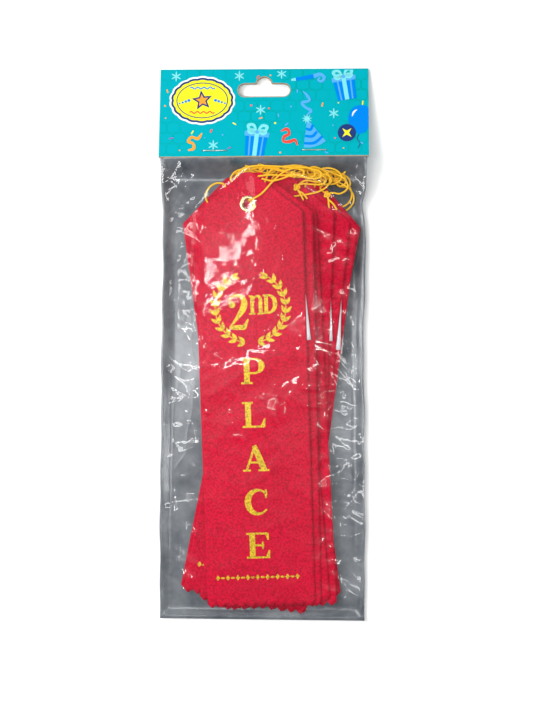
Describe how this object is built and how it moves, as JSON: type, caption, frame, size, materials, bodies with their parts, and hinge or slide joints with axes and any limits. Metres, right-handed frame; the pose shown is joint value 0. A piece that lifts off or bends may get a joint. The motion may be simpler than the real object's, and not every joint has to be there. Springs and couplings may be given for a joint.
{
  "type": "award ribbon pack",
  "caption": "Film bag of pointed satin award ribbons with eyelets, elastic cord loops and swivelling event cards, closed by a folded, stapled header card with a hang slot.",
  "frame": {"origin": "middle of the pack's length and width, on the surface it lies on", "axes": "+X to the right, +Y towards the header card, +Z out of the front of the pack"},
  "size_m": [0.1, 0.264, 0.0184],
  "materials": {
    "header_print": "gloss print on one side, raw kraft edge",
    "clear_film": "clear glossy film, wrinkled",
    "staple_wire": "bright wire",
    "red_satin": "satin weave with foil-stamped gold",
    "eyelet_brass": "polished",
    "event_card_paper": "uncoated white card",
    "elastic_cord": "braided elastic"
  },
  "bodies": {
    "root": {"header_card": "header_print", "bag_front_film": "clear_film", "bag_back_film": "clear_film", "staple_left": "staple_wire", "staple_right": "staple_wire", "cord_01": "elastic_cord", "cord_02": "elastic_cord", "cord_03": "elastic_cord", "cord_04": "elastic_cord", "cord_05": "elastic_cord", "cord_06": "elastic_cord", "cord_07": "elastic_cord", "cord_08": "elastic_cord", "cord_09": "elastic_cord", "cord_10": "elastic_cord"},
    "hung_ribbon_01": {"ribbon_01": "red_satin", "eyelet_01": "eyelet_brass"},
    "hung_card_01": {"event_card_01": "event_card_paper"},
    "hung_ribbon_02": {"ribbon_02": "red_satin", "eyelet_02": "eyelet_brass"},
    "hung_card_02": {"event_card_02": "event_card_paper"},
    "hung_ribbon_03": {"ribbon_03": "red_satin", "eyelet_03": "eyelet_brass"},
    "hung_card_03": {"event_card_03": "event_card_paper"},
    "hung_ribbon_04": {"ribbon_04": "red_satin", "eyelet_04": "eyelet_brass"},
    "hung_card_04": {"event_card_04": "event_card_paper"},
    "hung_ribbon_05": {"ribbon_05": "red_satin", "eyelet_05": "eyelet_brass"},
    "hung_card_05": {"event_card_05": "event_card_paper"},
    "hung_ribbon_06": {"ribbon_06": "red_satin", "eyelet_06": "eyelet_brass"},
    "hung_card_06": {"event_card_06": "event_card_paper"},
    "hung_ribbon_07": {"ribbon_07": "red_satin", "eyelet_07": "eyelet_brass"},
    "hung_card_07": {"event_card_07": "event_card_paper"},
    "hung_ribbon_08": {"ribbon_08": "red_satin", "eyelet_08": "eyelet_brass"},
    "hung_card_08": {"event_card_08": "event_card_paper"},
    "hung_ribbon_09": {"ribbon_09": "red_satin", "eyelet_09": "eyelet_brass"},
    "hung_card_09": {"event_card_09": "event_card_paper"},
    "hung_ribbon_10": {"ribbon_10": "red_satin", "eyelet_10": "eyelet_brass"},
    "hung_card_10": {"event_card_10": "event_card_paper"}
  },
  "joints": [
    {"name": "ribbon_01_swing", "type": "hinge", "parent": "root", "child": "hung_ribbon_01", "pos_m": [-0.00669, 0.06451, 0.01597], "axis": [0, -0.0541, 0.9985], "range_deg": [-3, 3.5]},
    {"name": "event_card_01_swivel", "type": "hinge", "parent": "hung_ribbon_01", "child": "hung_card_01", "pos_m": [-0.00669, 0.06451, 0.01597], "axis": [0, -0.0541, 0.9985], "range_deg": [-6, 6]},
    {"name": "ribbon_02_swing", "type": "hinge", "parent": "root", "child": "hung_ribbon_02", "pos_m": [-0.00212, 0.0647, 0.01439], "axis": [0, -0.0486, 0.9988], "range_deg": [-5, 4]},
    {"name": "event_card_02_swivel", "type": "hinge", "parent": "hung_ribbon_02", "child": "hung_card_02", "pos_m": [-0.00212, 0.0647, 0.01439], "axis": [0, -0.0486, 0.9988], "range_deg": [-6, 6]},
    {"name": "ribbon_03_swing", "type": "hinge", "parent": "root", "child": "hung_ribbon_03", "pos_m": [-0.00942, 0.06446, 0.01278], "axis": [0, -0.0432, 0.9991], "range_deg": [-6, 3.5]},
    {"name": "event_card_03_swivel", "type": "hinge", "parent": "hung_ribbon_03", "child": "hung_card_03", "pos_m": [-0.00942, 0.06446, 0.01278], "axis": [0, -0.0432, 0.9991], "range_deg": [-6, 6]},
    {"name": "ribbon_04_swing", "type": "hinge", "parent": "root", "child": "hung_ribbon_04", "pos_m": [-0.00038, 0.06392, 0.01116], "axis": [0, -0.0377, 0.9993], "range_deg": [-6, 3]},
    {"name": "event_card_04_swivel", "type": "hinge", "parent": "hung_ribbon_04", "child": "hung_card_04", "pos_m": [-0.00038, 0.06392, 0.01116], "axis": [0, -0.0377, 0.9993], "range_deg": [-6, 6]},
    {"name": "ribbon_05_swing", "type": "hinge", "parent": "root", "child": "hung_ribbon_05", "pos_m": [0.00839, 0.06621, 0.00964], "axis": [0, -0.0322, 0.9995], "range_deg": [-6, 5]},
    {"name": "event_card_05_swivel", "type": "hinge", "parent": "hung_ribbon_05", "child": "hung_card_05", "pos_m": [0.00839, 0.06621, 0.00964], "axis": [0, -0.0322, 0.9995], "range_deg": [-6, 6]},
    {"name": "ribbon_06_swing", "type": "hinge", "parent": "root", "child": "hung_ribbon_06", "pos_m": [0.01631, 0.06349, 0.00796], "axis": [0, -0.0267, 0.9996], "range_deg": [-5, 6]},
    {"name": "event_card_06_swivel", "type": "hinge", "parent": "hung_ribbon_06", "child": "hung_card_06", "pos_m": [0.01631, 0.06349, 0.00796], "axis": [0, -0.0267, 0.9996], "range_deg": [-6, 3]},
    {"name": "ribbon_07_swing", "type": "hinge", "parent": "root", "child": "hung_ribbon_07", "pos_m": [0.02018, 0.06243, 0.00634], "axis": [0, -0.0212, 0.9998], "range_deg": [-5, 6]},
    {"name": "event_card_07_swivel", "type": "hinge", "parent": "hung_ribbon_07", "child": "hung_card_07", "pos_m": [0.02018, 0.06243, 0.00634], "axis": [0, -0.0212, 0.9998], "range_deg": [-6, 3]},
    {"name": "ribbon_08_swing", "type": "hinge", "parent": "root", "child": "hung_ribbon_08", "pos_m": [0.02192, 0.06335, 0.00477], "axis": [0, -0.0157, 0.9999], "range_deg": [-3, 1.5]},
    {"name": "event_card_08_swivel", "type": "hinge", "parent": "hung_ribbon_08", "child": "hung_card_08", "pos_m": [0.02192, 0.06335, 0.00477], "axis": [0, -0.0157, 0.9999], "range_deg": [-6, 6]},
    {"name": "ribbon_09_swing", "type": "hinge", "parent": "root", "child": "hung_ribbon_09", "pos_m": [-0.01395, 0.06454, 0.00319], "axis": [0, -0.0102, 0.9999], "range_deg": [-6, 2.5]},
    {"name": "event_card_09_swivel", "type": "hinge", "parent": "hung_ribbon_09", "child": "hung_card_09", "pos_m": [-0.01395, 0.06454, 0.00319], "axis": [0, -0.0102, 0.9999], "range_deg": [-6, 6]},
    {"name": "ribbon_10_swing", "type": "hinge", "parent": "root", "child": "hung_ribbon_10", "pos_m": [0.0221, 0.06407, 0.0016], "axis": [0, -0.0047, 1], "range_deg": [-1.5, 3]},
    {"name": "event_card_10_swivel", "type": "hinge", "parent": "hung_ribbon_10", "child": "hung_card_10", "pos_m": [0.0221, 0.06407, 0.0016], "axis": [0, -0.0047, 1], "range_deg": [-6, 6]}
  ]
}
